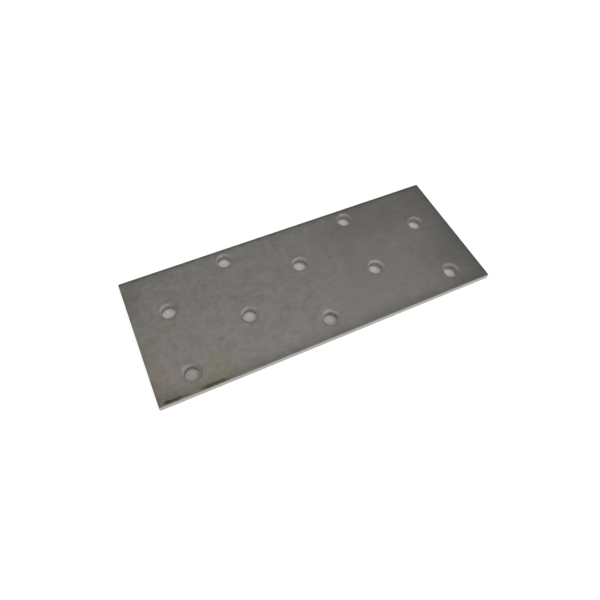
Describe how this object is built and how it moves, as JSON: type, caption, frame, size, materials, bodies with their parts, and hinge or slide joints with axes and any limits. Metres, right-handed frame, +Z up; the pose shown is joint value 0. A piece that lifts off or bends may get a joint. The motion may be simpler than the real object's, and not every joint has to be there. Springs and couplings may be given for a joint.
{
  "type": "mending plate",
  "caption": "Flat rectangular steel mending plate with staggered rows of round punched screw holes, each with a rolled upper rim.",
  "frame": {"origin": "centre of the underside, the flat face that lies on the work", "axes": "+X along the length, +Y across the width to the far long edge, +Z up through the face that the punch entered"},
  "size_m": [0.125, 0.05, 0.0025],
  "materials": {
    "steel": "dull grey mill finish, faintly mottled, with bright sheared edges"
  },
  "bodies": {
    "root": {"mending_plate": "steel"}
  },
  "joints": []
}
